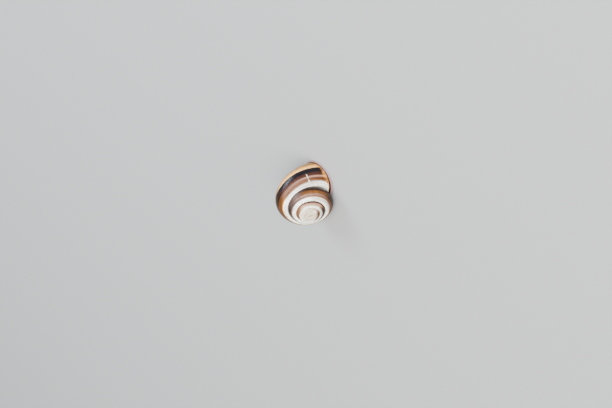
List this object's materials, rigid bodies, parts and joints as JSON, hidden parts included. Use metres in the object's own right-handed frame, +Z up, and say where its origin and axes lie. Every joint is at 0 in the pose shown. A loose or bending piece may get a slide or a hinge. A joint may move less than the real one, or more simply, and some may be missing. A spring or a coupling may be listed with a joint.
{
  "type": "banded land snail, withdrawn in its shell",
  "caption": "Still, life-size land snail drawn into its glossy, dark-banded coiled shell and resting mouth down, its lip flat on the floor.",
  "frame": {"origin": "centre of the bounding box's base, on the plane that the lip and the belly of the last whorl rest on", "axes": "+Z up; +X towards the outer lip of the mouth, along the longest side; the apex of the shell leans towards -Y"},
  "size_m": [0.0218, 0.0164, 0.0143],
  "materials": {
    "worn_apex": "worn, pale, satin",
    "banded_shell": "glossy, cream with brown and near-black spiral bands and fine growth lines",
    "lip": "glossy, pale lilac-brown",
    "mantle": "moist, finely grained skin",
    "foot_sole": "moist, finely grained skin"
  },
  "bodies": {
    "root": {"shell_nucleus": "worn_apex", "shell_whorl_2": "banded_shell", "shell_whorl_3": "banded_shell", "shell_whorl_4": "banded_shell", "body_whorl_back": "banded_shell", "body_whorl_side": "banded_shell", "body_whorl_mouth": "banded_shell", "lip": "lip", "mantle_collar": "mantle", "foot_front": "foot_sole", "foot_rear": "foot_sole", "breathing_pore": "mantle"}
  },
  "joints": []
}
